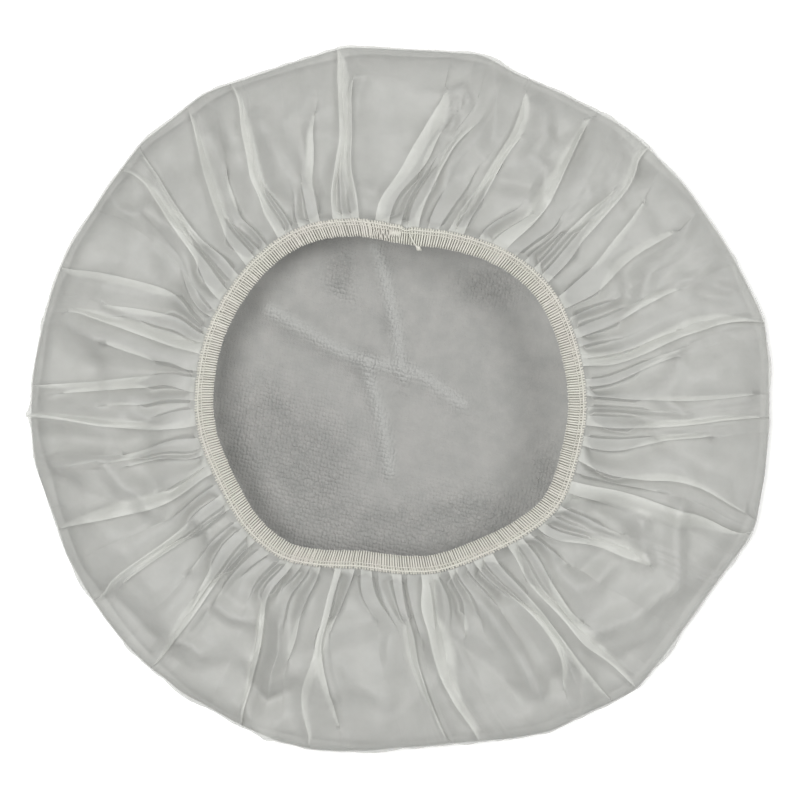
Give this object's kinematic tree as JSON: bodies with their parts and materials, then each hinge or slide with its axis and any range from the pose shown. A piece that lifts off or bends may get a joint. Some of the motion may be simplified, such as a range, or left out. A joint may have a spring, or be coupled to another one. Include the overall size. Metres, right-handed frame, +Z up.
{
  "type": "shower cap",
  "caption": "Round gathered shower cap of milky waterproof film with a terry lining and a stitched elastic edge, lying crown down with its opening up.",
  "frame": {"origin": "under the middle of the crown, at the centre of the rim's box, on the surface that the cap lies on", "axes": "+Z up out of the opening, +Y towards the side where the ends of the elastic are joined"},
  "size_m": [0.286, 0.2728, 0.0309],
  "materials": {
    "milky_film": "thin milky see-through film, softly glossy",
    "grey_terry": "matte looped terry knit",
    "cream_elastic": "ribbed woven elastic",
    "cream_thread": "soft textured sewing thread"
  },
  "bodies": {
    "root": {"film_shell": "milky_film", "terry_lining": "grey_terry", "elastic_band": "cream_elastic", "upper_looper_thread": "cream_thread", "lower_looper_thread": "cream_thread", "needle_thread_outer": "cream_thread", "needle_thread_inner": "cream_thread", "join_tack": "cream_thread", "thread_tail": "cream_thread"}
  },
  "joints": []
}
